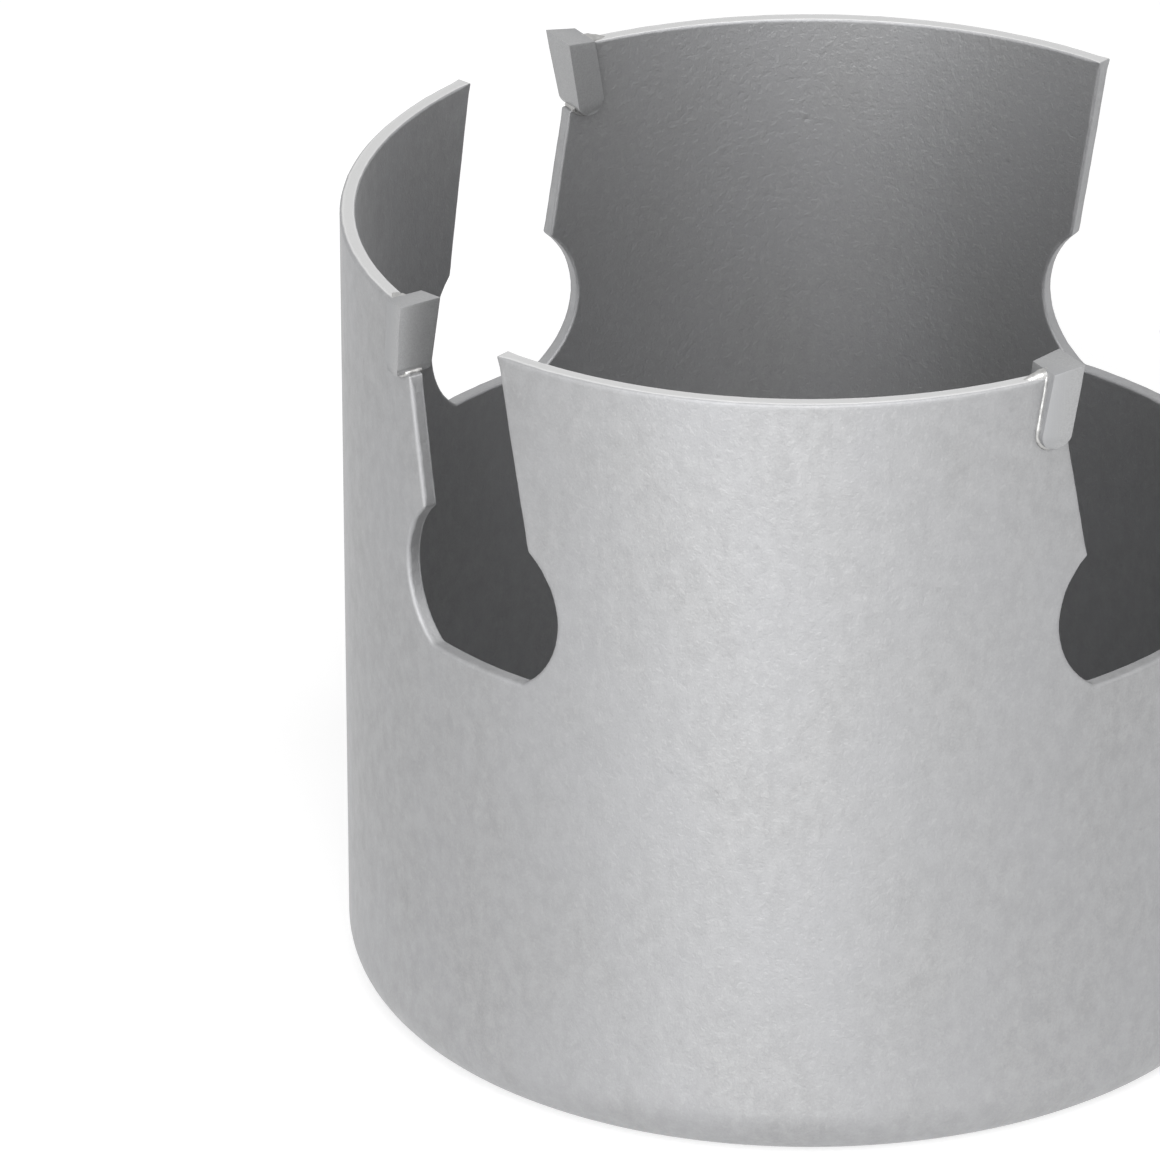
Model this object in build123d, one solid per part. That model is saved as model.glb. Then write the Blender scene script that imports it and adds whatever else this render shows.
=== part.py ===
"""Carbide-tipped hole saw cup, standing on its base with the open, toothed end up.

Millimetres. The origin is the centre of the base's outer face and +Z runs along the axis to the teeth.
One slot is centred on each of +X, +Y, -X and -Y. Seen from the teeth the cup turns anticlockwise to cut.
"""
from build123d import *
from math import asin, cos, degrees, radians, sin, tan
import os

# Cup, drawn from steel sheet
body_diameter = 66.0
body_height = 59.0
wall = 1.1
floor_thickness = 1.5
base_corner_radius = 4.0
rim_edge_chamfer = 0.2

# Slots that let chips out and a lever in, each a lobe with a leaning neck that opens at the rim
slot_count = 4
slot_depth = 24.7
lobe_end_radius = 6.35
lobe_centre_spread = 2.3  # between the centres of the lobe's two ends
lobe_floor_drop = 5.4  # from those centres down to the lobe's flat bottom
neck_width = 10.2
neck_lean = 10.2
neck_foot_rise = 4.5  # from those centres up to where the neck's own centre line leaves the slot's

# Carbide tips, one at the trailing side of each neck
tip_stand = 0.8
tip_thickness = 2.2
tip_seat_depth = 4.4
tip_rake = 10.0
tip_top_relief = 8.0
tip_setback = 0.15
tip_outer_overhang = 1.0
tip_inner_overhang = 1.1
tip_outer_relief = 8.0
tip_inner_relief = 4.0
tip_side_taper = 1.5
tip_heel_depth = 2.4  # below the rim, from where the outer face turns in towards the foot
tip_heel_radius = 3.5
braze_gap = 0.05

# Threaded hub, a thick disc welded to the inside of the floor to take the arbor
hub_diameter = 42.0
hub_thickness = 6.0
hub_edge_chamfer = 0.8
thread_bore_diameter = 14.55
thread_mouth_chamfer = 0.5
arbor_clearance_diameter = 16.2

# Holes through hub and floor for the arbor's drive pins
pin_count = 4
pin_hole_diameter = 6.8
pin_circle_diameter = 25.4

# Worked out from the sizes above
body_radius = body_diameter / 2
inner_radius = body_radius - wall
lobe_width = lobe_centre_spread + 2 * lobe_end_radius
lobe_centre_depth = slot_depth - lobe_floor_drop
neck_foot_depth = lobe_centre_depth - neck_foot_rise
pitch = 360 / slot_count
past = 5.0  # how far a cutting shape runs past the material


def cup_shell():
    """The drawn cup: a round wall that turns through a rounded corner into a flat floor."""
    outside = Pos(Z=body_height / 2) * Cylinder(body_radius, body_height)
    outside = fillet(outside.edges().group_by(Axis.Z)[0], base_corner_radius)
    hollow = Pos(Z=floor_thickness + body_height / 2) * Cylinder(inner_radius, body_height)
    inner_corner_radius = max(base_corner_radius - wall, wall)
    hollow = fillet(hollow.edges().group_by(Axis.Z)[0], inner_corner_radius)
    shell = outside - hollow
    return chamfer(shell.edges().group_by(Axis.Z)[-1], rim_edge_chamfer)


def slot_outline():
    """A slot seen from outside: X is along the wall and Y is height, with the rim at zero."""
    lobe = Pos(Y=-lobe_centre_depth) * SlotCenterToCenter(lobe_centre_spread, 2 * lobe_end_radius)
    under_lobe = Rectangle(2 * lobe_width, lobe_end_radius, align=(Align.CENTER, Align.MAX))
    neck_foot = Pos(Y=-neck_foot_depth) * Rot(Z=neck_lean)
    neck_length = (neck_foot_depth + past) / cos(radians(neck_lean))
    neck = Rectangle(neck_width, neck_length + neck_foot_rise, align=(Align.CENTER, Align.MIN))
    return lobe - Pos(Y=-slot_depth) * under_lobe + neck_foot * Pos(Y=-neck_foot_rise) * neck


def neck_wall_offset(depth):
    """How far the neck's trailing wall lies from the slot's centre line, at a depth below the rim."""
    half_width = neck_width / 2 / cos(radians(neck_lean))
    return half_width + (neck_foot_depth - depth) * tan(radians(neck_lean))


def through_wall(outline, inner, outer):
    """A flat outline at the rim made into a solid that runs radially along +X, between two radii."""
    return Pos(inner, 0, body_height) * extrude(Plane.YZ * outline, outer - inner)


# The foot of a tip's cutting face, and the turn that brings a radial plane through it
tip_foot_offset = neck_wall_offset(tip_seat_depth) + tip_setback
tip_angle = -degrees(asin(tip_foot_offset / body_radius))
tip_outer_radius = body_radius + tip_outer_overhang
tip_inner_radius = inner_radius - tip_inner_overhang


def tip_outline(extra=0.0):
    """A tip seen from outside: a slab with a full round foot, leaning forward so its face undercuts."""
    reach = (tip_seat_depth + tip_stand + past) / cos(radians(tip_rake))
    slab = Pos(-tip_thickness / 2) * Rectangle(tip_thickness, reach, align=(Align.CENTER, Align.MIN))
    foot = Pos(-tip_thickness / 2) * Circle(tip_thickness / 2)
    outline = slab + foot
    if extra:
        outline = offset(outline, extra)
    return Pos(Y=-tip_seat_depth) * Rot(Z=-tip_rake) * outline


def tip_side_mask():
    """A block with the tip's inner and outer faces, which fall away behind and below the cutting edge."""
    behind = 2 * tip_thickness
    ahead = tip_thickness
    outer_fall = tan(radians(tip_outer_relief))
    inner_fall = tan(radians(tip_inner_relief))
    plan = Polygon(
        (tip_outer_radius + ahead * outer_fall, ahead),
        (tip_outer_radius - behind * outer_fall, -behind),
        (tip_inner_radius + behind * inner_fall, -behind),
        (tip_inner_radius - ahead * inner_fall, ahead),
        align=None,
    )
    top = body_height + tip_stand + tip_thickness
    return extrude(Pos(Z=top) * plan, 4 * tip_seat_depth, dir=(0, 0, -1), taper=tip_side_taper)


def tip_heel_mask():
    """A block whose outer side curves in below the rim, so that the tip's foot ends level with the wall."""
    full = Circle(tip_heel_radius)
    above = Rectangle(4 * past, 4 * past, align=(Align.CENTER, Align.MIN))
    inside = Rectangle(4 * past, 4 * past, align=(Align.MAX, Align.CENTER))
    heel = Pos(tip_outer_radius - tip_heel_radius, body_height - tip_heel_depth) * (full + above + inside)
    return extrude(Plane.XZ * heel, 2 * past, both=True)


def carbide_tip():
    """One tip in a frame whose XZ plane passes through the foot of its cutting face."""
    edge_lead = (tip_seat_depth + tip_stand) * tan(radians(tip_rake))
    above = Rectangle(6 * tip_thickness, 2 * past, align=(Align.CENTER, Align.MIN))
    outline = tip_outline() - Pos(edge_lead, tip_stand) * Rot(Z=tip_top_relief) * above
    slab = through_wall(outline, tip_inner_radius - past, tip_outer_radius + past)
    return slab & tip_side_mask() & tip_heel_mask()


def tip_pocket():
    """The seat of a tip in the wall, open ahead of the cutting face down to the round foot."""
    ahead = Rectangle(tip_thickness, tip_seat_depth + past, align=(Align.MIN, Align.MIN))
    ahead = Pos(Y=-tip_seat_depth) * Rot(Z=-tip_rake) * Pos(-tip_thickness / 2) * ahead
    return through_wall(tip_outline(braze_gap) + ahead, inner_radius - past, body_radius + past)


def pin_holes(height):
    """Cutting shapes for the drive-pin holes, on the slots' own directions."""
    hole = Pos(X=pin_circle_diameter / 2) * Cylinder(pin_hole_diameter / 2, height)
    return [Rot(Z=turn * 360 / pin_count) * hole for turn in range(pin_count)]


def threaded_hub():
    """The hub as a turned disc. Its bore is at the thread's crests: the fine thread itself isn't cut."""
    disc = Pos(Z=hub_thickness / 2) * Cylinder(hub_diameter / 2, hub_thickness)
    disc = chamfer(disc.edges().group_by(Axis.Z)[-1], hub_edge_chamfer)
    disc -= Pos(Z=hub_thickness / 2) * Cylinder(thread_bore_diameter / 2, 2 * hub_thickness)
    bore_top = disc.edges().filter_by(GeomType.CIRCLE).group_by(Axis.Z)[-1].sort_by(SortBy.RADIUS)[0]
    disc = chamfer(bore_top, thread_mouth_chamfer)
    return Pos(Z=floor_thickness) * (disc - pin_holes(4 * hub_thickness))


def cup():
    """The finished cup: shell, slots, tip pockets, and the arbor's holes in the floor."""
    body = cup_shell()
    slot = through_wall(slot_outline(), inner_radius / 2, body_radius + past)
    pocket = Rot(Z=tip_angle) * tip_pocket()
    for turn in range(slot_count):
        body -= Rot(Z=turn * pitch) * slot
        body -= Rot(Z=turn * pitch) * pocket
    body -= Cylinder(arbor_clearance_diameter / 2, 4 * floor_thickness)
    return body - pin_holes(4 * floor_thickness)


parts = {"cup": cup(), "threaded_hub": threaded_hub()}
for turn in range(slot_count):
    parts[f"carbide_tip_{turn + 1}"] = Rot(Z=turn * pitch + tip_angle) * carbide_tip()

os.makedirs("parts", exist_ok=True)
for name, part in parts.items():
    export_step(part, f"parts/{name}.step")
    size = part.bounding_box().size
    print(f"{name}: {part.volume:.1f} mm3, {size.X:.2f} x {size.Y:.2f} x {size.Z:.2f} mm")
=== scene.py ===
# %% [markdown]
# # A carbide-tipped hole saw
# A hole saw is a deep steel cup with cutting tips brazed into its rim. The cup is drawn from sheet, so its
# wall is thin and even. Four key-shaped slots let the chips out and take a lever to push the core out.
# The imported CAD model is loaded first, and every place below is in its frame.

# %% Load the frame
from math import asin, atan2, cos, degrees, pi, radians, sin, sqrt, tan

import bpy
import bmesh
import numpy as np
from mathutils import Matrix, Vector, geometry, noise


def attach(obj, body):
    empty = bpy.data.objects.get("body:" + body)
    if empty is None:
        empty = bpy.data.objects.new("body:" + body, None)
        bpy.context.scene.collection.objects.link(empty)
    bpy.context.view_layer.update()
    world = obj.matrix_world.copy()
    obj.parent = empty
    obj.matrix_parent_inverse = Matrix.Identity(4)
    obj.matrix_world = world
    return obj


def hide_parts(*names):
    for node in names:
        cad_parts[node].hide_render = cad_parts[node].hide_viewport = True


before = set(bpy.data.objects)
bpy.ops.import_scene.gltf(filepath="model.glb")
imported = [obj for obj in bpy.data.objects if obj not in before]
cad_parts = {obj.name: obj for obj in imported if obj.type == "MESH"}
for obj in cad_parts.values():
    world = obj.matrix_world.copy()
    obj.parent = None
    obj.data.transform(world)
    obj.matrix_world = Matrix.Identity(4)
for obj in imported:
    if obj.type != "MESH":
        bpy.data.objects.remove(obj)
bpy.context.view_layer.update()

# %% [markdown]
# ## Sizes
# Sizes are written in millimetres, because that is how a drawing of such a tool gives them, and each mesh is
# scaled to metres once, at the end of its making.

# %% Sizes of the cup, its slots, its tips and its hub
MM = 0.001
body_radius = 33.0
body_height = 59.0
wall = 1.1
inner_radius = body_radius - wall
floor_thickness = 1.5
corner_radius = 4.0
inner_corner_radius = corner_radius - wall
slots = 4

slot_depth = 24.7
lobe_radius = 6.35
lobe_half_spread = 1.15
lobe_depth = 19.3
neck_width = 10.2
neck_lean = radians(10.2)
neck_foot_depth = 14.8

tip_thickness = 2.2
tip_stand = 0.8
tip_seat_depth = 4.4
tip_rake = radians(10)
tip_setback = 0.15
braze_gap = 0.05

hub_radius = 21.0
hub_thickness = 6.0
arbor_hole_radius = 8.1
pin_hole_radius = 3.4
pin_circle_radius = 12.7

quarter = 2 * pi / slots
print(f"cup {2 * body_radius} mm across and {body_height} mm tall, {slots} slots {slot_depth} mm deep")

# %% [markdown]
# ## Camera
# The view is from far away through a very long lens, so the straight sides hardly converge. The camera stands
# more than a metre away, looks down by 26 degrees, and is aimed left of the cup's axis by a turn about its own
# upright. That does what a lens shift would do, and keeps the axis upright.

# %% Camera
picture_side = 1160
focal_pixels = 16235.0
axis_pixel = Vector((809.4, 578.0))
camera_turn = radians(-134.85)
camera_distance = 31.412 * body_radius * MM
camera_height = 16.193 * body_radius * MM
camera_pitch = radians(25.955)
sensor_width = 36.0
to_camera = Vector((cos(camera_turn), sin(camera_turn), 0.0))
to_right = Vector((-to_camera.y, to_camera.x, 0.0))


def in_scene(name, data):
    """A new object in the scene."""
    made = bpy.data.objects.new(name, data)
    bpy.context.scene.collection.objects.link(made)
    return made


def make_camera():
    """A camera with the cup's axis at the wanted pixel, and no lens shift."""
    forward = -to_camera * cos(camera_pitch) - Vector((0, 0, sin(camera_pitch)))
    up = to_right.cross(forward)
    middle = picture_side / 2
    shift = to_right * (middle - axis_pixel.x) - up * (middle - axis_pixel.y)
    aim = (forward * focal_pixels + shift).normalized()
    right = aim.cross(up).normalized()
    camera = in_scene("camera", bpy.data.cameras.new("camera"))
    camera.data.sensor_width = sensor_width
    camera.data.lens = focal_pixels / picture_side * sensor_width
    camera.data.clip_end = 20.0
    camera.location = to_camera * camera_distance + Vector((0, 0, camera_height))
    camera.rotation_euler = Matrix((right, right.cross(aim), -aim)).transposed().to_euler()
    bpy.context.scene.camera = camera
    return camera


camera = make_camera()
print(f"lens {camera.data.lens:.0f} mm, {camera.location.length:.2f} m from the base")

# %% [markdown]
# ## A helper for nodes
# Materials and geometry trees are both node trees, so one helper serves both: it adds a node, sets what is
# set by name, and fills each input with a number or links it to another node.

# %% Node helper
def add(tree, kind, sockets=(), **settings):
    """One new node. sockets maps an input to a constant, an output, or a node that stands for its first output."""
    made = tree.nodes.new(kind)
    for name, value in settings.items():
        setattr(made, name, value)
    for name, value in dict(sockets).items():
        if isinstance(value, bpy.types.Node):
            value = value.outputs[0]
        if isinstance(value, bpy.types.NodeSocket):
            tree.links.new(value, made.inputs[name])
        else:
            made.inputs[name].default_value = value
    return made


def calc(tree, operation, *values):
    """The output of one Math node."""
    return add(tree, "ShaderNodeMath", dict(enumerate(values)), operation=operation).outputs[0]


def times(tree, first, second):
    """The product of two values."""
    return calc(tree, "MULTIPLY", first, second)


def grey(value):
    """A neutral colour."""
    return (value, value, value, 1.0)


# %% Material helpers
def start_material(name, metallic=1.0):
    """A new material, its tree and object coordinates."""
    material = bpy.data.materials.new(name)
    material.use_nodes = True
    tree = material.node_tree
    tree.nodes["Principled BSDF"].inputs["Metallic"].default_value = metallic
    return material, tree, tree.nodes.new("ShaderNodeTexCoord").outputs["Object"]


def dressed(material, colour, rough, normal):
    """The material, once its shader takes a colour, a roughness and a normal."""
    tree = material.node_tree
    for name, value in (("Base Color", colour), ("Roughness", rough), ("Normal", normal)):
        tree.links.new(value, tree.nodes["Principled BSDF"].inputs[name])
    return material


def speckle(tree, coordinates, size, stretch=(1, 1, 1), detail=2.0, rough=0.5):
    """Noise with blotches about size metres across, longer along an axis whose stretch is above 1."""
    spread = add(tree, "ShaderNodeMapping", {"Vector": coordinates, "Scale": [1 / (size * s) for s in stretch]})
    sockets = {"Vector": spread, "Scale": 1.0, "Detail": detail, "Roughness": rough}
    return add(tree, "ShaderNodeTexNoise", sockets).outputs["Fac"]


def ranged(tree, value, low, high, to_low, to_high):
    """Maps a value's range to another and clamps it there."""
    sockets = {"Value": value, "From Min": low, "From Max": high, "To Min": to_low, "To Max": to_high}
    return add(tree, "ShaderNodeMapRange", sockets).outputs[0]


def blend(tree, amount, first, second):
    """Mixes two colours."""
    return add(tree, "ShaderNodeMix", {0: amount, 6: first, 7: second}, data_type="RGBA").outputs[2]


def bumped(tree, height, distance, onto=None):
    """A Bump node's normal. distance is how far apart low and high lie, in metres."""
    sockets = {"Height": height, "Distance": distance, "Strength": 1.0}
    if onto is not None:
        sockets["Normal"] = onto
    return add(tree, "ShaderNodeBump", sockets).outputs[0]


def turned_rings(tree, coordinates, size):
    """Noise in rings round the axis, as a lathe leaves them."""
    x, y, z = add(tree, "ShaderNodeSeparateXYZ", {0: coordinates}).outputs
    distance = calc(tree, "SQRT", calc(tree, "ADD", calc(tree, "POWER", x, 2.0), calc(tree, "POWER", y, 2.0)))
    place = add(tree, "ShaderNodeCombineXYZ", {0: distance, 2: times(tree, z, 0.3)})
    return speckle(tree, place, size)


# %% [markdown]
# ## Blasted steel
# The cup's skin is bead-blasted steel: a dull, even grey made of countless tiny dents, with a few larger pits
# among them. It is a metal, so all of its tone is reflection, and its roughness does most of the work. Noise
# of four sizes varies the colour and the roughness, and the one that is cut off above and below its middle
# gives separate dents. A Voronoi texture places the pits, which are painted darker as painted shade in their
# hollows. Bump nodes in a row press them all into the skin.
# The rim was faced on a lathe after blasting, and its top is painted paler: partly for the brighter faced metal,
# partly as painted light that falls on the top. Its fine rings spread light across them but not along them. An
# attribute named worn, set when the mesh is made, is 1 on the sheared edges: tumbling has dulled them
# unevenly, so they are rougher.

# %% Blasted steel
def blasted_steel():
    material, tree, here = start_material("blasted_skin")
    grain = speckle(tree, here, 0.00016, detail=3.0, rough=0.6)
    patches = speckle(tree, here, 0.0011, stretch=(1, 1, 1.4), detail=3.0, rough=0.6)
    cloud = speckle(tree, here, 0.007, stretch=(1, 1, 1.6), detail=3.0)
    flecks = speckle(tree, here, 0.00042, stretch=(1, 1, 1.2), detail=1.0)
    dents = calc(tree, "SUBTRACT", ranged(tree, flecks, 0.59, 0.68, 0, 1), ranged(tree, flecks, 0.41, 0.32, 0, 1))
    cells = add(tree, "ShaderNodeTexVoronoi", {"Vector": here, "Scale": 1 / 0.0016}).outputs
    chance = add(tree, "ShaderNodeSeparateColor", {0: cells["Color"]}).outputs
    size = ranged(tree, chance[0], 0.6, 1.0, 0.02, 0.15)
    pits = ranged(tree, calc(tree, "DIVIDE", cells["Distance"], size), 0.4, 1.3, 1.0, 0.0)
    tone = calc(tree, "ADD", times(tree, grain, 0.4), times(tree, patches, 0.6))
    skin = blend(tree, ranged(tree, tone, 0.38, 0.62, 0, 1), (0.326, 0.327, 0.331, 1), (0.374, 0.375, 0.38, 1))
    skin = blend(tree, ranged(tree, cloud, 0.35, 0.65, 0, 0.4), skin, (0.368, 0.37, 0.382, 1))
    skin = blend(tree, ranged(tree, dents, 0.0, 1.0, 0, 0.15), skin, grey(0.45))
    # Painted shade: the pits are darkened towards a deep grey, for the shade that falls in their hollows.
    skin = blend(tree, times(tree, pits, 0.22), skin, grey(0.26))
    level = add(tree, "ShaderNodeSeparateXYZ", {0: here}).outputs[2]
    # Painted light: the rim's top is blended to a pale grey, partly for its faced metal and partly for the light
    # falling on it from above.
    faced_and_lit_rim = ranged(tree, level, (body_height - 0.04) * MM, (body_height - 0.01) * MM, 0, 1)
    skin = blend(tree, faced_and_lit_rim, skin, grey(0.60))
    worn = add(tree, "ShaderNodeAttribute", attribute_name="worn").outputs["Fac"]
    dulled = times(tree, worn, ranged(tree, patches, 0.35, 0.6, 0.6, 1.0))
    rough = ranged(tree, tone, 0.35, 0.65, 0.57, 0.52)
    rough = add(tree, "ShaderNodeMix", {0: dulled, 2: rough, 3: 0.74}, data_type="FLOAT").outputs[0]
    normal = bumped(tree, patches, 0.00001)
    normal = bumped(tree, dents, 0.000005, onto=normal)
    normal = bumped(tree, pits, -0.000008, onto=normal)
    normal = bumped(tree, grain, 0.000008, onto=normal)
    rings = times(tree, faced_and_lit_rim, turned_rings(tree, here, 0.00007))
    return dressed(material, skin, rough, bumped(tree, rings, 0.00003, onto=normal))


steel = blasted_steel()
print("finish:", steel.name)

# %% [markdown]
# ## Ground carbide
# The tips are sintered tungsten carbide: hard grains bound with metal, matt and finer in grain than the steel.
# A little of what it gives back is scattered light, so it isn't wholly metallic. Grinding leaves hair-fine
# parallel lines, so one noise is stretched far along one axis. An attribute named coat is 1 at the back of a
# tip, where braze and blasting have left a film of the steel's tone.

# %% Ground carbide
def ground_carbide():
    material, tree, here = start_material("ground_carbide", metallic=0.88)
    grain = speckle(tree, here, 0.00012, detail=3.0)
    lines = speckle(tree, here, 0.00006, stretch=(1, 1, 30), detail=2.0)
    skin = blend(tree, ranged(tree, grain, 0.35, 0.65, 0, 1), (0.35, 0.352, 0.356, 1), (0.40, 0.402, 0.406, 1))
    coat = add(tree, "ShaderNodeAttribute", attribute_name="coat").outputs["Fac"]
    film = ranged(tree, calc(tree, "ADD", coat, times(tree, grain, 0.4)), 0.45, 0.95, 0, 1)
    skin = blend(tree, film, skin, (0.345, 0.348, 0.355, 1))
    rough = ranged(tree, lines, 0.3, 0.7, 0.50, 0.58)
    return dressed(material, skin, rough, bumped(tree, grain, 0.000006, onto=bumped(tree, lines, 0.000003)))


carbide = ground_carbide()
print("finish:", carbide.name)

# %% [markdown]
# ## Silver braze
# Silver solder holds the tips. It set as a liquid, so it is smoother and a little paler than the steel.

# %% Silver braze
def silver_braze():
    material, tree, here = start_material("silver_braze")
    skin = speckle(tree, here, 0.0004, detail=3.0)
    tone = ranged(tree, skin, 0.35, 0.65, 0, 1)
    tone = blend(tree, tone, (0.38, 0.378, 0.372, 1), (0.47, 0.468, 0.46, 1))
    return dressed(material, tone, ranged(tree, skin, 0.35, 0.65, 0.36, 0.5), bumped(tree, skin, 0.00002))


braze = silver_braze()
print("finish:", braze.name)

# %% [markdown]
# ## Turned steel
# The hub was faced on a lathe, which leaves fine rings round its axis. The rings come from the distance to
# the axis, so they follow the turning exactly, and a cloudy film breaks them up.

# %% Turned steel
def turned_steel():
    material, tree, here = start_material("turned_skin")
    rings = turned_rings(tree, here, 0.00016)
    film = speckle(tree, here, 0.004, detail=3.0)
    tone = blend(tree, ranged(tree, rings, 0.3, 0.7, 0, 1), grey(0.40), grey(0.52))
    tone = blend(tree, ranged(tree, film, 0.4, 0.7, 0, 0.5), tone, (0.36, 0.355, 0.345, 1))
    return dressed(material, tone, ranged(tree, film, 0.3, 0.7, 0.30, 0.44), bumped(tree, rings, 0.00001))


turned = turned_steel()
print("finish:", turned.name)

# %% [markdown]
# ## Cut lines
# Sheet metal is drawn as flat outlines first. A cut line runs with the metal on its left. Real corners are
# never perfectly sharp, so a line is sampled finely, smoothed over a fraction of a millimetre, and sampled
# again, close together where it turns and further apart where it is straight.

# %% Helpers for lines
def line_points(start, stop, step):
    """Points from start towards stop, leaving out stop."""
    start, stop = np.array(start, float), np.array(stop, float)
    count = max(1, round(np.linalg.norm(stop - start) / step))
    return start + (stop - start) * np.arange(count)[:, None] / count


def sector(radius, angles):
    """Points of an arc round the axis."""
    return radius * np.stack([np.cos(angles), np.sin(angles)], 1)


def arc_points(centre, radius, start, stop, step):
    """Points along an arc between two angles, leaving out the last."""
    count = max(1, round(abs(stop - start) * radius / step))
    angle = start + (stop - start) * np.arange(count) / count
    return np.array(centre) + sector(radius, angle)


def eased(points, softness, step):
    """A finely sampled line with its corners rounded. Its ends stay where they are."""
    reach = int(4 * softness / step)
    weights = np.exp(-0.5 * (np.arange(-reach, reach + 1) * step / softness) ** 2)
    weights /= weights.sum()
    before = 2 * points[0] - points[reach:0:-1]
    after = 2 * points[-1] - points[-2 : -reach - 2 : -1]
    long = np.concatenate([before, points, after])
    return np.stack([np.convolve(long[:, i], weights, "valid") for i in (0, 1)], 1)


def thinned(points, longest, widest_turn):
    """Keeps a point once the line has run for longest, or turned by widest_turn, since the last one."""
    steps = np.diff(points, axis=0)
    heading = np.unwrap(np.arctan2(steps[:, 1], steps[:, 0]))
    run = np.linalg.norm(steps, axis=1)
    kept, length, turned_by = [0], 0.0, 0.0
    for i in range(1, len(points) - 1):
        length += run[i - 1]
        turned_by += abs(heading[i] - heading[i - 1])
        if length >= longest or turned_by >= widest_turn:
            kept.append(i)
            length = turned_by = 0.0
    return points[kept + [len(points) - 1]]


# %% [markdown]
# ## The slot
# A slot is a lobe with a flat floor under a neck that leans back by ten degrees. Beside the neck lies the
# seat of a tip: a notch with a straight back and a round foot, leaning the other way. Along the wall, places
# are kept as a length on the outer face, because the flat panel will be rolled up later.

# %% Slot outline
fine_step = 0.04
lean_slope = tan(neck_lean)
seat_radius = tip_thickness / 2 + braze_gap
ledge_drop = 0.6


def along(offset, turn=0.0):
    """Length along the outer face to a point that lies sideways of a radial plane, itself turned by turn."""
    return body_radius * (turn + np.arcsin(np.asarray(offset) / body_radius))


def neck_wall(side, up):
    """Sideways place of a neck wall at a height from the rim. side is 1 for the leading wall, -1 for the other."""
    return side * neck_width / 2 / cos(neck_lean) - (neck_foot_depth + up) * lean_slope


def neck_meets_lobe(side):
    """The point where a neck wall runs into the arc on its side, and its angle on that arc."""
    start = neck_wall(side, 0) - side * lobe_half_spread
    a = 1 + lean_slope**2
    b = 2 * (lobe_depth - start * lean_slope)
    c = start**2 + lobe_depth**2 - lobe_radius**2
    up = (-b + sqrt(b * b - 4 * a * c)) / (2 * a)
    sideways = neck_wall(side, up)
    return sideways, up, atan2(up + lobe_depth, sideways - side * lobe_half_spread)


rake_foot = neck_wall(-1, -tip_seat_depth) - tip_setback
tip_turn = asin(rake_foot / body_radius)


def leaned(ahead, up):
    """From a place along and across a tip's own lean to sideways and height, measured at the rim."""
    sideways = ahead * cos(tip_rake) + up * sin(tip_rake)
    return sideways, up * cos(tip_rake) - ahead * sin(tip_rake) - tip_seat_depth


def up_to_rim(ahead):
    """How far up a tip's own lean the rim lies, at a place along it."""
    return (tip_seat_depth + ahead * sin(tip_rake)) / cos(tip_rake)


def seat_place(ahead, up):
    """The same place on the flat panel."""
    sideways, height = leaned(ahead, up)
    return np.stack([along(sideways, tip_turn), height], -1)


def slot_line():
    """The cut line of a slot and its tip's seat, from the rim ahead of it to the rim behind the tip."""
    floor_angle = asin((slot_depth - lobe_depth) / lobe_radius)
    floor_half = lobe_half_spread + lobe_radius * cos(floor_angle)
    lead, trail = neck_meets_lobe(1), neck_meets_lobe(-1)
    ledge_up = -tip_seat_depth - ledge_drop
    slot = [
        line_points((neck_wall(1, 0), 0), lead[:2], fine_step),
        arc_points((lobe_half_spread, -lobe_depth), lobe_radius, lead[2], -floor_angle, fine_step),
        line_points((floor_half, -slot_depth), (-floor_half, -slot_depth), fine_step),
        arc_points((-lobe_half_spread, -lobe_depth), lobe_radius, pi + floor_angle, trail[2], fine_step),
        line_points(trail[:2], (neck_wall(-1, ledge_up), ledge_up), fine_step),
    ]
    slot = np.concatenate(slot)
    slot[:, 0] = along(slot[:, 0])
    foot = arc_points((-tip_thickness / 2, 0), seat_radius, -asin(ledge_drop / seat_radius), -pi, fine_step)
    back = -tip_thickness - braze_gap
    rim_up = up_to_rim(back)
    seat = seat_place(*np.concatenate([foot, line_points((back, 0), (back, rim_up), fine_step)]).T)
    ledge = line_points((along(neck_wall(-1, ledge_up)), ledge_up), seat[0], fine_step)
    return np.concatenate([slot, ledge, seat, seat_place(np.array([back]), np.array([rim_up]))])


slot_cut = slot_line()
print(f"slot and seat: {len(slot_cut)} fine points, seat turned {degrees(tip_turn):.2f} degrees from the slot")

# %% [markdown]
# ## A plate with softened edges
# The wall, the floor and the hub are all plates: a flat outline with some thickness. Along a sheared edge the
# surface turns over a small radius on each face, which is what catches the light. So each edge is built as
# rows of points that follow the cut line at rising distances into the metal and depths below the face. The
# flat faces between them are filled with triangles over a regular grid of points, fine enough to be rolled.

# %% Edge rows
edge_radius = 0.27
inner_edge = 0.6
edge_unevenness = 0.4
edge_growth = 0.25  # growth of the radius for each millimetre along the line
bend_limit = 0.48  # how much of a tight corner's own radius the edge may take
arc_turns = [radians(a) for a in (0, 30, 60, 90)]


def sheared_edge(thickness):
    """Rows as (distance into the metal, depth, part that grows with the radius, wear) from face to face."""
    face = [(1.6, 0.0, 0.0)] + [(1 - sin(a), 1 - cos(a), 1.0) for a in arc_turns] + [(0.0, 1.5, 0.0)]
    outer = [(into, 0.0, depth, wear) for into, depth, wear in face]
    inner = [(into * inner_edge, thickness, -depth * inner_edge, wear) for into, depth, wear in reversed(face)]
    return outer + inner


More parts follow.
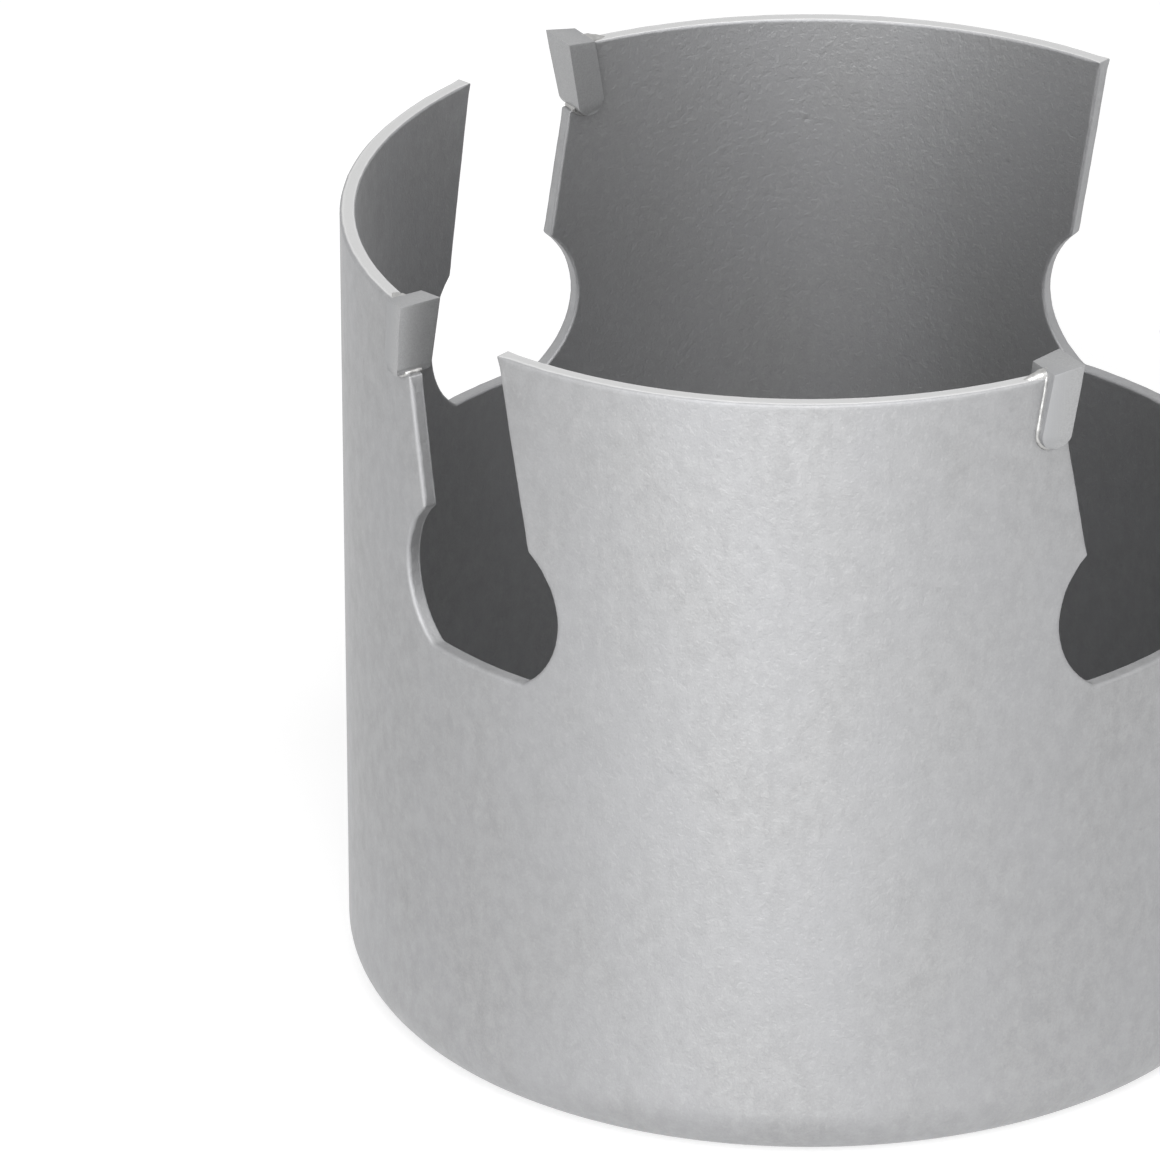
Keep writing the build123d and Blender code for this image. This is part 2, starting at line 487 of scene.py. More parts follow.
def inward(points, closed):
    """At each point of a cut line, the unit direction into the metal, on its left, and how sharply it bends."""
    if closed:
        ahead, behind = np.roll(points, -1, 0) - points, points - np.roll(points, 1, 0)
    else:
        steps = np.diff(points, axis=0)
        ahead, behind = np.concatenate([steps, steps[-1:]]), np.concatenate([steps[:1], steps])
    unit = [step / np.linalg.norm(step, axis=1)[:, None] for step in (ahead, behind)]
    middle = unit[0] + unit[1]
    middle /= np.linalg.norm(middle, axis=1)[:, None]
    turn = np.arctan2(unit[1][:, 0] * unit[0][:, 1] - unit[1][:, 1] * unit[0][:, 0], (unit[0] * unit[1]).sum(1))
    spacing = (np.linalg.norm(ahead, axis=1) + np.linalg.norm(behind, axis=1)) / 2
    return np.stack([-middle[:, 1], middle[:, 0]], 1), turn / spacing


def edge_radii(points, closed, radius, seed):
    """The edge's radius at each point: small in a tight corner, growing slowly away, and never quite even."""
    bend = inward(points, closed)[1]
    uneven = [1 - edge_unevenness * abs(noise.noise(Vector((x * 1.3, y * 1.3, seed)))) for x, y in points]
    radii = np.minimum(radius * np.array(uneven), bend_limit / np.maximum(bend, 1e-6))
    if not closed:
        radii[0] = radii[-1] = min(radii[0], radii[-1])
    growth = edge_growth * np.linalg.norm(np.diff(points, axis=0, append=points[:1]), axis=1)
    for step in (1, -1):
        order = range(len(points))[::step]
        for last, this in zip(order, order[1:]):
            radii[this] = min(radii[this], radii[last] + growth[min(last, this)])
    return radii


# %% Plate builder
class Plate:
    """A flat plate in millimetres, in which a point is (across, up, out) and out is zero on the upper face."""

    def __init__(self, thickness):
        self.thickness = thickness
        self.points, self.faces, self.wear = [], [], []

    def put(self, places, depth, wear):
        first = len(self.points)
        depths = np.broadcast_to(depth, len(places))
        self.points += [(x, y, -d) for (x, y), d in zip(places, depths)]
        self.wear += [wear] * len(places)
        return list(range(first, first + len(places)))

    def stitch(self, rows, closed=False):
        """Quads from each row of points to the next. Returns the first and the last row."""
        for above, below in zip(rows, rows[1:]):
            pairs = list(zip(above, above[1:] + above[:1], below, below[1:] + below[:1]))
            self.faces += [(a, c, d, b) for a, b, c, d in (pairs if closed else pairs[:-1])]
        return rows[0], rows[-1]

    def edge(self, line, rows, radius, closed=False, seed=0.0, ends=None):
        """Adds an edge's rows, and returns their first and last: the ends of the two faces."""
        into, _ = inward(line, closed)
        if ends is not None:
            into[0], into[-1] = ends
        radii = edge_radii(line, closed, radius, seed)
        made = [
            self.put(line + into * (distance * radii)[:, None], base + depth * radii, wear)
            for distance, base, depth, wear in rows
        ]
        return self.stitch(made, closed)

    def plain(self, line):
        """A line with no edge of its own, where the plate goes on into another piece."""
        return self.put(line, 0.0, 0.0), self.put(line, self.thickness, 0.0)

    def fill(self, border, holes, grid, clear):
        """Fills both faces inside the border lines, with grid points that keep clear of every line."""
        loops = [[pair for line in border for pair in zip(*line)]] + [list(zip(*hole)) for hole in holes]
        pairs = [pair for loop in loops for pair in loop]
        upper = [pair[0] for pair in pairs]
        flat = np.array([self.points[i][:2] for i in upper])
        kept = [p for p in grid if np.hypot(*(flat - p).T).min() > clear and inside(p, flat, loops)]
        inner_upper, inner_lower = self.plain(kept)
        upper += inner_upper
        lower = [pair[1] for pair in pairs] + inner_lower
        edges, first = [], 0
        for loop in loops:
            edges += [(first + i, first + (i + 1) % len(loop)) for i in range(len(loop))]
            first += len(loop)
        loop_of = [n for n, loop in enumerate(loops) for _ in loop] + [0] * len(kept)
        places = [Vector(self.points[i][:2]) for i in upper]
        found = geometry.delaunay_2d_cdt(places, edges, [], 1, 1e-6)
        origin = [members[0] for members in found[3]]
        for triangle in found[2]:
            a, b, c = (origin[i] for i in triangle)
            if loop_of[a] == loop_of[b] == loop_of[c] > 0:
                continue  # it would close a hole
            if (places[b] - places[a]).cross(places[c] - places[a]) < 0:
                b, c = c, b
            self.faces.append((upper[a], upper[b], upper[c]))
            self.faces.append((lower[a], lower[c], lower[b]))


def inside(place, flat, loops):
    """Whether a place lies in the metal: a ray from it crosses the lines an odd number of times."""
    crossings, first = 0, 0
    for loop in loops:
        ring = flat[first : first + len(loop)]
        first += len(loop)
        after = np.roll(ring, -1, 0)
        spans = (ring[:, 1] > place[1]) != (after[:, 1] > place[1])
        a, b = ring[spans], after[spans]
        crossings += (a[:, 0] + (place[1] - a[:, 1]) * (b[:, 0] - a[:, 0]) / (b[:, 1] - a[:, 1]) > place[0]).sum()
    return crossings % 2 == 1


# %% [markdown]
# ## The wall as a flat quarter panel
# The cup repeats four times round its axis, so one flat panel with one slot is enough. Its top runs along the
# rim, down one side of the slot, up the other, round the tip's seat and along the rim again.

# %% Flat wall panel
columns = 44
panel_levels = 38
panel_foot = 5.0
panel_clearance = 0.55  # from the edge to the nearest grid point
corner_softness = 0.14
longest_side = 0.7
widest_turn = radians(9)
panel_half = body_radius * quarter / 2
column_places = np.linspace(-panel_half, panel_half, columns + 1)


def wall_panel():
    lead, trail = slot_cut[0], slot_cut[-1]
    rim_ahead = line_points((panel_half, 0), lead, fine_step)
    rim_behind = np.concatenate([line_points(trail, (-panel_half, 0), fine_step)[1:], [(-panel_half, 0)]])
    cut = np.concatenate([rim_ahead, slot_cut, rim_behind])
    top = thinned(eased(cut, corner_softness, fine_step), longest_side, widest_turn)
    top[0], top[-1] = (panel_half, 0), (-panel_half, 0)
    top[:, 1] += body_height
    panel = Plate(wall)
    edge = panel.edge(top, sheared_edge(wall), edge_radius, seed=3.0)
    high = panel.points[edge[0][0]][1]
    levels = np.linspace(panel_foot, high, panel_levels)
    right = panel.plain(np.array([(panel_half, z) for z in levels[1:-1]]))
    foot = panel.plain(np.stack([column_places, np.full(columns + 1, panel_foot)], 1))
    left = panel.plain(np.array([(-panel_half, z) for z in levels[-2:0:-1]]))
    grid = [np.array((x, z)) for x in column_places[1:-1] for z in levels[1:]]
    panel.fill([foot, right, edge, left], [], grid, panel_clearance)
    return panel


panel = wall_panel()
print(f"wall panel: {len(panel.points)} points, {len(panel.faces)} faces")

# %% [markdown]
# ## The corner and the floor
# Under the panel the wall turns through a round corner into the floor. The corner is the same all the way
# round, so it is a strip of quads along the panel's foot, on the outside and on the inside. The floor is
# another plate: a quarter of a disc with a drive-pin hole and a quarter of the arbor's hole.

# %% Corner strips and floor plate
corner_steps = 12
hole_sides = 40
arbor_hole_sides = 32  # in a quarter
hole_edge = 0.15
disc_clearance = 0.45
floor_edge = body_radius - corner_radius
column_angles = column_places / body_radius


def corner_profile(radius, face_radius, face_height):
    """From the panel's foot down the wall and round the corner, as (radius, height)."""
    turns = np.linspace(0, pi / 2, corner_steps + 1)
    bend = [(floor_edge + radius * cos(a), face_height + radius - radius * sin(a)) for a in turns]
    return [(face_radius, panel_foot)] + bend


def corner_strip(profile, outwards):
    """Quads along the panel's foot, as points (radius, along, height) and faces."""
    points = [(r, s, z) for r, z in profile for s in column_places]
    across = columns + 1
    starts = [row * across + k for row in range(len(profile) - 1) for k in range(columns)]
    faces = [(a, a + across, a + across + 1, a + 1) for a in starts]
    return points, faces if outwards else [face[::-1] for face in faces]


def seam(from_radius, to_radius, angle, count):
    """Points on a radial line, without its ends."""
    radii = np.linspace(from_radius, to_radius, count)[1:-1]
    return np.stack([radii * cos(angle), radii * sin(angle)], 1)


def disc_quarter(plate, outer, inner, outer_radius, inner_radius, pin_rows, spacing):
    """Fills a quarter disc between two arcs, with a pin hole in its middle."""
    half = quarter / 2
    steps = round((outer_radius - inner_radius) / spacing)
    ahead = plate.plain(seam(outer_radius, inner_radius, half, steps + 1))
    behind = plate.plain(seam(inner_radius, outer_radius, -half, steps + 1))
    turns = -2 * pi * np.arange(hole_sides) / hole_sides
    hole = np.array([pin_circle_radius, 0]) + sector(pin_hole_radius, turns)
    pin = plate.edge(hole, pin_rows, hole_edge, closed=True, seed=9.0)
    grid = [
        np.array((r * cos(a), r * sin(a)))
        for r in np.linspace(inner_radius, outer_radius, steps + 1)[1:-1]
        for a in np.linspace(-half, half, round(quarter * r / spacing) + 1)[1:-1]
    ]
    plate.fill([outer, ahead, inner, behind], [pin], grid, disc_clearance)


def floor_plate():
    floor = Plate(floor_thickness)
    outer = floor.plain(sector(floor_edge, column_angles))
    angles = np.linspace(quarter / 2, -quarter / 2, arbor_hole_sides + 1)
    ends = sector(1.0, angles[[0, -1]])
    rows = sheared_edge(floor_thickness)
    inner = floor.edge(sector(arbor_hole_radius, angles), rows, hole_edge, seed=5.0, ends=ends)
    disc_quarter(floor, outer, inner, floor_edge, arbor_hole_radius, rows, spacing=1.6)
    return floor


floor_part = floor_plate()
print(f"floor quarter: {len(floor_part.points)} points, {len(floor_part.faces)} faces")

# %% [markdown]
# ## One mesh from the flat parts
# The panel, the corner strips and the floor are gathered in one mesh. The attribute flat is 1 where the mesh
# is still to be rolled, with x as the radius, y as the length along the wall and z as the height.

# %% Quarter blank
def make_object(name, points, faces, **values):
    """A mesh object from points in millimetres, with a number per point for each named attribute."""
    mesh = bpy.data.meshes.new(name)
    mesh.from_pydata([Vector(p) * MM for p in points], [], faces)
    for key, numbers in values.items():
        mesh.attributes.new(key, "FLOAT", "POINT").data.foreach_set("value", np.array(numbers, np.float32))
    return in_scene(name, mesh)


def cup_quarter():
    points = [(body_radius + out, s, z) for s, z, out in panel.points]
    faces, wear, flat = list(panel.faces), list(panel.wear), [1.0] * len(panel.points)
    outer = corner_profile(corner_radius, body_radius, 0.0)
    inner = corner_profile(inner_corner_radius, inner_radius, floor_thickness)
    floor_points = [(x, y, floor_thickness + out) for x, y, out in floor_part.points]
    pieces = [
        (*corner_strip(outer, True), None, 1.0),
        (*corner_strip(inner, False), None, 1.0),
        (floor_points, floor_part.faces, floor_part.wear, 0.0),
    ]
    for more, more_faces, more_wear, is_flat in pieces:
        first = len(points)
        points += more
        faces += [tuple(first + i for i in face) for face in more_faces]
        wear += more_wear or [0.0] * len(more)
        flat += [is_flat] * len(more)
    return make_object("cup_quarter", points, faces, worn=wear, flat=flat)


# %% [markdown]
# ## Geometry Nodes: roll up and repeat
# Rolling is a rule: the length along the wall becomes an angle, and the radius stays. So it is done in a
# Geometry Nodes tree, which then repeats the quarter round the axis, welds the seams and marks as sharp only
# the edges that turn more than a set angle. The repeating half of the tree serves the other pieces too.

# %% Geometry tree helpers
def start_tree(name, **inputs):
    """A geometry tree with a geometry going in and out, and the named inputs, given as socket types."""
    tree = bpy.data.node_groups.new(name, "GeometryNodeTree")
    for way in ("INPUT", "OUTPUT"):
        tree.interface.new_socket("Geometry", in_out=way, socket_type="NodeSocketGeometry")
    for label, kind in inputs.items():
        tree.interface.new_socket(label, in_out="INPUT", socket_type="NodeSocket" + kind)
    return tree, add(tree, "NodeGroupInput").outputs


ROUND_INPUTS = {"copies": "Int", "weld": "Float", "crease": "Float", "material": "Material"}


def own_place(tree):
    """The x, y and z of each point."""
    return add(tree, "ShaderNodeSeparateXYZ", {0: add(tree, "GeometryNodeInputPosition")}).outputs


def round_place(tree, radius, angle, height):
    """A position from a distance to the axis, an angle round it and a height."""
    across = times(tree, radius, calc(tree, "COSINE", angle))
    deep = times(tree, radius, calc(tree, "SINE", angle))
    return add(tree, "ShaderNodeCombineXYZ", {0: across, 1: deep, 2: height})


def repeated(tree, geometry, ins):
    """Copies of a geometry, evenly round the axis."""
    points = add(tree, "GeometryNodePoints", {"Count": ins["copies"]})
    step = calc(tree, "DIVIDE", 2 * pi, ins["copies"])
    turn = times(tree, add(tree, "GeometryNodeInputIndex"), step)
    rotation = add(tree, "FunctionNodeEulerToRotation", {0: add(tree, "ShaderNodeCombineXYZ", {2: turn})})
    sockets = {"Points": points, "Instance": geometry, "Rotation": rotation}
    return add(tree, "GeometryNodeRealizeInstances", {0: add(tree, "GeometryNodeInstanceOnPoints", sockets)})


def finished(tree, geometry, ins):
    """Welds, shades, sets the material and ends the tree."""
    welded = add(tree, "GeometryNodeMergeByDistance", {"Geometry": geometry, "Distance": ins["weld"]})
    smooth = add(tree, "GeometryNodeSetShadeSmooth", {"Geometry": welded}, domain="FACE")
    angle = add(tree, "GeometryNodeInputMeshEdgeAngle")
    steep = add(tree, "FunctionNodeCompare", {0: angle, 1: ins["crease"]}, operation="GREATER_THAN")
    sockets = {"Geometry": smooth, "Selection": steep, "Shade Smooth": False}
    sharp = add(tree, "GeometryNodeSetShadeSmooth", sockets, domain="EDGE")
    done = add(tree, "GeometryNodeSetMaterial", {"Geometry": sharp, "Material": ins["material"]})
    add(tree, "NodeGroupOutput", {0: done})


def made_real(source, tree, name, **values):
    """Runs a tree on an object, with the inputs given by name, and keeps the result as a plain mesh."""
    modifier = source.modifiers.new("shape", "NODES")
    modifier.node_group = tree
    for item in tree.interface.items_tree:
        if item.in_out == "INPUT" and item.name in values:
            modifier[item.identifier] = values[item.name]
    graph = bpy.context.evaluated_depsgraph_get()
    mesh = bpy.data.meshes.new_from_object(source.evaluated_get(graph), preserve_all_data_layers=True, depsgraph=graph)
    bpy.data.objects.remove(source)
    mesh.name = name
    result = in_scene(name, mesh)
    report(result)
    return result


def report(piece):
    """Prints a mesh's size and open edges. A volume above zero means that its faces point outwards."""
    work = bmesh.new()
    work.from_mesh(piece.data)
    open_edges = sum(len(e.link_faces) != 2 for e in work.edges)
    volume = work.calc_volume(signed=True) / MM**3
    triangles = sum(len(f.verts) - 2 for f in work.faces)
    work.free()
    print(f"{piece.name}: {triangles} triangles, {open_edges} open edges, {volume:.1f} mm3")


# %% Roll up the cup
def roll_tree():
    tree, ins = start_tree("roll_and_repeat", radius="Float", **ROUND_INPUTS)
    place = own_place(tree)
    rolled = round_place(tree, place[0], calc(tree, "DIVIDE", place[1], ins["radius"]), place[2])
    flat = add(tree, "GeometryNodeInputNamedAttribute", {"Name": "flat"}, data_type="FLOAT")
    sockets = {"Geometry": ins["Geometry"], "Selection": flat, "Position": rolled}
    finished(tree, repeated(tree, add(tree, "GeometryNodeSetPosition", sockets), ins), ins)
    return tree


seam_weld = 0.002 * MM
fine_weld = seam_weld / 10
cup = made_real(
    cup_quarter(), roll_tree(), "cup_body", radius=body_radius * MM, copies=slots,
    weld=seam_weld, crease=radians(50), material=steel,
)

# %% [markdown]
# ## Carbide tips
# A tip is a small slab of carbide with a full round foot. It leans forward, so that its cutting face
# undercuts, and its top, outer and inner faces all fall away behind the cutting edge. It stands a little
# proud of the wall on both sides, so that only the tips touch the cut. Low down the outer face curves in to
# a heel. The attribute coat is written here, one value for each corner line of the slab. A Weld modifier joins
# its two sides at the foot, and a Bevel softens its edges. One tip is made and repeated.

# %% One tip
proud_outside, proud_inside = 1.0, 1.1
tip_outer, tip_inner = body_radius + proud_outside, inner_radius - proud_inside
outer_relief = tan(radians(8))
inner_relief = tan(radians(4))
top_relief = tan(radians(8))
side_taper = tan(radians(1.5))
taper_top = tip_stand + tip_thickness
heel_depth = 3.4  # below the rim
heel_radius = 3.5
tip_bevel = 0.08
tip_rows = 30
foot_rows = 12


def turned_round(points, angle):
    """Points turned round the axis."""
    c, s = cos(angle), sin(angle)
    return [(x * c - y * s, x * s + y * c, z) for x, y, z in points]


def tip_chains():
    """The tip's side view as two lines of (sideways, height) down to the foot: its cutting face and its back."""
    half = tip_thickness / 2
    edge_up = (tip_seat_depth + tip_stand) / cos(tip_rake)
    sine, cosine = sin(tip_rake), cos(tip_rake)
    drop = top_relief * (tip_thickness * cosine + leaned(0, edge_up)[0])
    back_up = (tip_stand + tip_seat_depth - tip_thickness * sine - drop) / (cosine - sine * top_relief)
    chains = []
    for ahead, up, turn in ((0.0, edge_up, -1), (-tip_thickness, back_up, 1)):
        straight = [(ahead, level) for level in np.linspace(up, 0, tip_rows)[:-1]]
        angles = np.linspace(0, pi / 2, foot_rows)
        foot = [(-half - turn * half * cos(a), -half * sin(a)) for a in angles]
        chains.append([leaned(*place) for place in straight + foot])
    return chains


def tip_sides(y, z):
    """Outer and inner radius of the tip at a place in its side view."""
    fall = (taper_top - z) * side_taper
    under = max(0.0, -heel_depth - z)
    heel = tip_outer - heel_radius + sqrt(heel_radius**2 - under**2)
    return min(tip_outer + y * outer_relief - fall, heel), tip_inner - y * inner_relief + fall


def one_tip():
    ahead, behind = tip_chains()
    rows = len(ahead)
    points = []
    for chain in (ahead, behind):
        sides = [tip_sides(y, z) for y, z in chain]
        for side in (0, 1):
            points += [(radii[side], y, body_height + z) for radii, (y, z) in zip(sides, chain)]
    front_out, front_in, back_out, back_in = (range(n * rows, (n + 1) * rows) for n in range(4))
    faces = [(front_out[0], front_in[0], back_in[0], back_out[0])]
    for left, right in ((front_out, back_out), (front_in, front_out), (back_in, front_in), (back_out, back_in)):
        faces += [(left[i], right[i], right[i + 1], left[i + 1]) for i in range(rows - 1)]
    coat = [value for value in (0.0, 0.0, 1.0, 0.4) for _ in range(rows)]
    tip = make_object("tip", turned_round(points, tip_turn), faces, coat=coat)
    weld = tip.modifiers.new("foot", "WELD")
    weld.merge_threshold = 0.001 * MM
    bevel = tip.modifiers.new("edges", "BEVEL")
    bevel.width = tip_bevel * MM
    bevel.segments = 2
    bevel.limit_method = "ANGLE"
    bevel.angle_limit = radians(40)
    return tip


def repeat_tree():
    tree, ins = start_tree("repeat_round_axis", **ROUND_INPUTS)
    finished(tree, repeated(tree, ins["Geometry"], ins), ins)
    return tree


tips = made_real(
    one_tip(), repeat_tree(), "carbide_tips", copies=slots,
    weld=fine_weld, crease=radians(25), material=carbide,
)

# %% [markdown]
# ## Braze
# The solder shows as a thin, slightly uneven bead round each tip: up the outside of its foot and back, over
# the rim, down again on the inside, and across under the tip. Behind the tip the solder has run out along the
# rim as a short slope. Both follow a path, so curves carry them: each point of a curve keeps its own radius,
# and Geometry Nodes sweep a ring along the curve, let the radius wander a little and repeat the result.

# %% Braze beads
bead_radius = 0.2
bead_step = 0.16
bead_sunk = 0.07
bead_start = radians(-30)
bead_wander = 0.75, 1.15  # its least and greatest relative radius
inner_fullness = 1.5  # how much thicker the bead is inside the cup
foot_points, rise_points, crossing_points = 20, 12, 6
crossing_inset = 0.25  # from each face of the wall, where the bead crosses the rim
crossing_back = 0.03
# The slope, as (run behind the tip, rise from the rim, radius)
slope_places = [(-0.5, 0.0, 0.55), (0.15, -0.03, 0.53), (0.8, -0.13, 0.41), (1.4, -0.22, 0.26), (1.9, -0.28, 0.14)]


def seat_seam(wall_radius, depth):
    """The seam between a tip and its seat, from its foot to the rim, on the face of the wall at a radius."""
    half = tip_thickness / 2
    reach = half + braze_gap / 2
    angles = np.linspace(bead_start, -pi, foot_points)
    foot = [(-half + reach * cos(a), reach * sin(a)) for a in angles]
    back = -half - reach
    rise = [(back, up) for up in np.linspace(0, up_to_rim(back), rise_points)[1:]]
    path = [leaned(*place) for place in foot + rise]
    return [(sqrt((wall_radius + depth) ** 2 - y * y), y, body_height + z) for y, z in path]


def bead_paths():
    """Two paths as (place, relative radius): the loop round a tip, and the slope along the rim behind it."""
    outside, inside_wall = seat_seam(body_radius, -bead_sunk), seat_seam(inner_radius, bead_sunk)
    y = outside[-1][1] - crossing_back
    crossing = np.linspace(body_radius - crossing_inset, inner_radius + crossing_inset, crossing_points)
    over = [(x, y, body_height - bead_sunk) for x in crossing]
    seam = [(place, 1.0) for place in outside + over] + [(place, inner_fullness) for place in inside_wall[::-1]]
    middle = (body_radius + inner_radius) / 2
    slope = [
        ((sqrt(middle**2 - (y - run) ** 2), y - run, body_height + rise), radius / bead_radius)
        for run, rise, radius in slope_places
    ]
    return seam, slope


def bead_curve():
    data = bpy.data.curves.new("bead", "CURVE")
    data.dimensions = "3D"
    for path, closed in zip(bead_paths(), (True, False)):
        spline = data.splines.new("POLY")
        spline.points.add(len(path) - 1)
        spline.use_cyclic_u = closed
        places = turned_round([place for place, _ in path], tip_turn)
        for point, place, (_, radius) in zip(spline.points, places, path):
            point.co = (*(Vector(place) * MM), 1.0)
            point.radius = radius
    return in_scene("bead", data)


def bead_tree():
    tree, ins = start_tree("braze_bead", radius="Float", step="Float", **ROUND_INPUTS)
    even = add(tree, "GeometryNodeResampleCurve", {"Curve": ins["Geometry"], "Length": ins["step"]}, mode="LENGTH")
    wander = add(tree, "ShaderNodeTexNoise", {"Scale": 900.0, "Detail": 2.0})
    factor = ranged(tree, wander, 0.3, 0.7, *bead_wander)
    own = add(tree, "GeometryNodeInputRadius")
    width = times(tree, times(tree, factor, own), ins["radius"])
    ring = add(tree, "GeometryNodeCurvePrimitiveCircle", {"Resolution": 10, "Radius": 1.0})
    sockets = {"Curve": even, "Profile Curve": ring, "Fill Caps": True, "Scale": width}
    finished(tree, repeated(tree, add(tree, "GeometryNodeCurveToMesh", sockets), ins), ins)
    return tree


beads = made_real(
    bead_curve(), bead_tree(), "braze_beads", radius=bead_radius * MM, step=bead_step * MM, copies=slots,
    weld=fine_weld, crease=radians(60), material=braze,
)

# %% [markdown]
# ## Threaded hub
# A thin floor couldn't hold a thread, so a thick turned disc is welded inside the cup. Its bore has the
# coarse thread that screws onto the arbor, eighteen turns to the inch. A thread is a rule in height and
# angle, so a grid of points takes its radius from that rule. At both ends the bore opens into a chamfer.

# %% Hub
thread_pitch = 25.4 / 18
thread_crest = 7.275
thread_root = 15.875 / 2
thread_rows = 77
root_until, crest_from = 0.125, 0.75  # where the flanks start and end, in half pitches from the root's middle
bore_end = thread_root + 0.05
bore_columns = 24
hub_columns = 48
hub_wear = 0.3
# Its upper edge as (distance in, depth), and its lower edge as (distance in, height)
hub_chamfer = [(0.95, 0.0), (0.86, 0.0), (0.78, 0.03), (0.03, 0.78), (0.0, 0.86), (0.0, 0.95)]
hub_foot = [(0.0, 0.3), (0.0, 0.15), (0.04, 0.04), (0.15, 0.0), (0.3, 0.0)]


def hub_quarter():
    hub = Plate(hub_thickness)
    angles = np.linspace(-quarter / 2, quarter / 2, hub_columns + 1)
    profile = hub_chamfer + [(into, hub_thickness - up) for into, up in hub_foot]
    outer = hub.stitch([hub.put(sector(hub_radius - into, angles), depth, hub_wear) for into, depth in profile])
    inner = hub.plain(sector(bore_end, np.linspace(quarter / 2, -quarter / 2, bore_columns + 1)))
    face_radius = hub_radius - hub_chamfer[0][0]
    disc_quarter(hub, outer, inner, face_radius, bore_end, sheared_edge(hub_thickness), spacing=1.3)
    points = [(x, y, floor_thickness + hub_thickness + out) for x, y, out in hub.points]
    return make_object("hub_quarter", points, hub.faces, worn=hub.wear)


def thread_surface(tree, ins):
    """A grid bent into the threaded bore: radius from a rule in angle and height."""
    sockets = {"Size X": 1.0, "Size Y": 1.0, "Vertices X": slots * bore_columns + 1, "Vertices Y": thread_rows}
    grid = add(tree, "GeometryNodeMeshGrid", sockets)
    place = own_place(tree)
    turn = calc(tree, "ADD", place[0], 0.5)
    angle = calc(tree, "ADD", times(tree, turn, 2 * pi), quarter / 2)
    up = times(tree, calc(tree, "ADD", place[1], 0.5), ins["length"])
    phase = calc(tree, "FRACT", calc(tree, "SUBTRACT", calc(tree, "DIVIDE", up, ins["pitch"]), turn))
    from_middle = calc(tree, "ABSOLUTE", calc(tree, "SUBTRACT", times(tree, phase, 2.0), 1.0))
    thread = ranged(tree, from_middle, root_until, crest_from, thread_root * MM, thread_crest * MM)
    to_end = calc(tree, "MINIMUM", up, calc(tree, "SUBTRACT", ins["length"], up))
    radius = calc(tree, "MAXIMUM", thread, calc(tree, "SUBTRACT", bore_end * MM, to_end))
    bent = round_place(tree, radius, angle, calc(tree, "ADD", up, ins["foot"]))
    placed = add(tree, "GeometryNodeSetPosition", {"Geometry": grid, "Position": bent})
    return add(tree, "GeometryNodeFlipFaces", {0: placed})


def hub_tree():
    tree, ins = start_tree("threaded_hub", pitch="Float", length="Float", foot="Float", **ROUND_INPUTS)
    join = add(tree, "GeometryNodeJoinGeometry", {0: repeated(tree, ins["Geometry"], ins)})
    tree.links.new(thread_surface(tree, ins).outputs[0], join.inputs[0])
    finished(tree, join, ins)
    return tree


hub = made_real(
    hub_quarter(), hub_tree(), "hub", pitch=thread_pitch * MM, length=hub_thickness * MM, foot=floor_thickness * MM,
    copies=slots, weld=seam_weld, crease=radians(28), material=turned,
)

# %% [markdown]
# ## Which piece stands for which solid
# Nothing moves on a hole saw, so every piece rides on the one body. Each row gives the name of a finish and
# the solids that the piece stands for.

# %% Ride and replace
for piece, slot_name, nodes in (
    (cup, "blasted_steel", ["cup"]),
    (tips, "carbide", [f"carbide_tip_{n + 1}" for n in range(slots)]),
    (beads, "blasted_steel", []),
    (hub, "turned_steel", ["threaded_hub"]),
):
    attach(piece, "root")
    if nodes:
        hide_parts(*nodes)
    print(piece.name, "stands for", nodes)

# %% [markdown]
# ## Floor, background and light
# The floor is plain and pale. What the camera and the metal see of it and of the surroundings is nearly
# white, and a part of the floor's tone comes from the lamps, so that the cup still casts its soft shadow.
# The surroundings light things at only a quarter of the strength at which they are seen. Two large soft lamps
# do the rest: one in front, low and a little to the left, and a stronger one higher up.

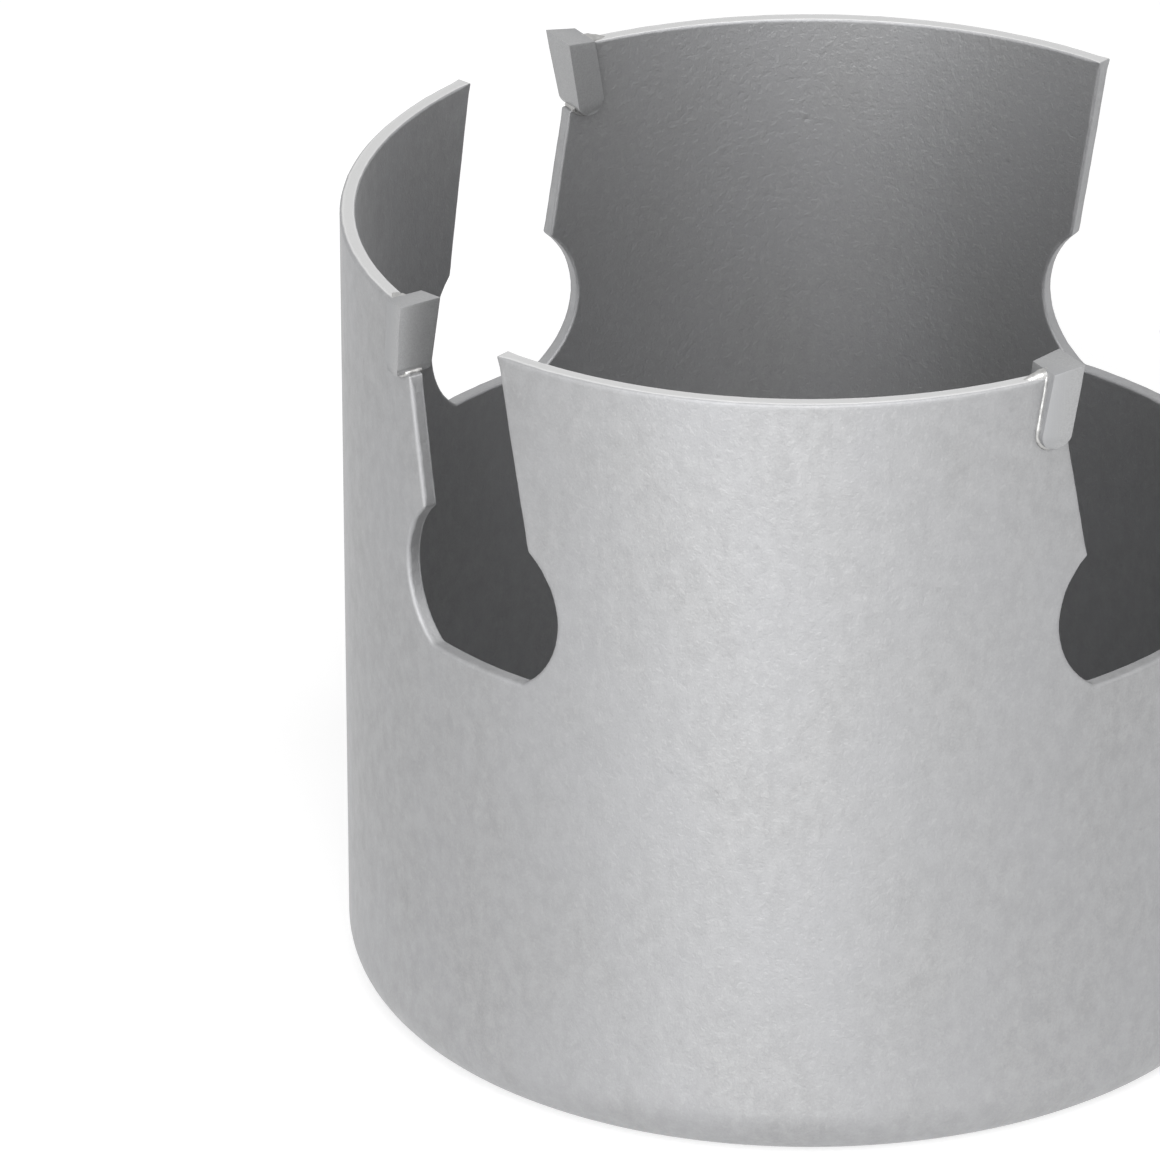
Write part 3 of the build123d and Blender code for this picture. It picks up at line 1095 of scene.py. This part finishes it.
# %% Studio
def seen_directly(tree):
    """1 for a ray from the camera or off a shiny surface, and 0 for light that falls on things."""
    path = add(tree, "ShaderNodeLightPath").outputs
    seen = calc(tree, "MAXIMUM", path["Is Camera Ray"], path["Is Glossy Ray"])
    return calc(tree, "MAXIMUM", seen, path["Is Transmission Ray"])


floor_glow = 0.62
world_light = 0.25


def make_floor():
    """A wide plane just under the cup, whose tone is part glow and part lamp light."""
    bpy.ops.mesh.primitive_plane_add(size=8.0, location=(0, 0, -0.02 * MM))
    floor = bpy.context.object
    floor.name = "studio_floor"
    material, tree, _ = start_material("pale_floor")
    tree.nodes.clear()
    matt = add(tree, "ShaderNodeBsdfDiffuse", {"Color": grey(0.55)})
    strength = times(tree, seen_directly(tree), floor_glow)
    glow = add(tree, "ShaderNodeEmission", {"Color": grey(1.0), "Strength": strength})
    add(tree, "ShaderNodeOutputMaterial", {"Surface": add(tree, "ShaderNodeAddShader", {0: matt, 1: glow})})
    floor.data.materials.append(material)


def make_world():
    """White where it is seen directly, and dimmer as a light."""
    world = bpy.data.worlds.new("studio")
    world.use_nodes = True
    tree = world.node_tree
    background = tree.nodes["Background"]
    background.inputs["Color"].default_value = grey(1.0)
    strength = ranged(tree, seen_directly(tree), 0.0, 1.0, world_light, 1.0)
    tree.links.new(strength, background.inputs["Strength"])
    bpy.context.scene.world = world


def soft_lamp(name, side, front, height, size, power):
    """A square lamp aimed at the cup. side is to the camera's right and front towards it, in metres."""
    data = bpy.data.lights.new(name, "AREA")
    data.size = size
    data.energy = power
    lamp = in_scene(name, data)
    lamp.location = to_right * side + to_camera * front + Vector((0, 0, height))
    target = Vector((0, 0, body_height * MM / 2))
    lamp.rotation_euler = (target - lamp.location).to_track_quat("-Z", "Y").to_euler()


make_floor()
make_world()
soft_lamp("front_lamp", side=-0.26, front=1.04, height=0.23, size=0.6, power=8.8)
soft_lamp("high_lamp", side=0.08, front=0.73, height=0.8, size=0.8, power=11.2)
bpy.context.scene.view_settings.view_transform = "Standard"
print("studio ready")
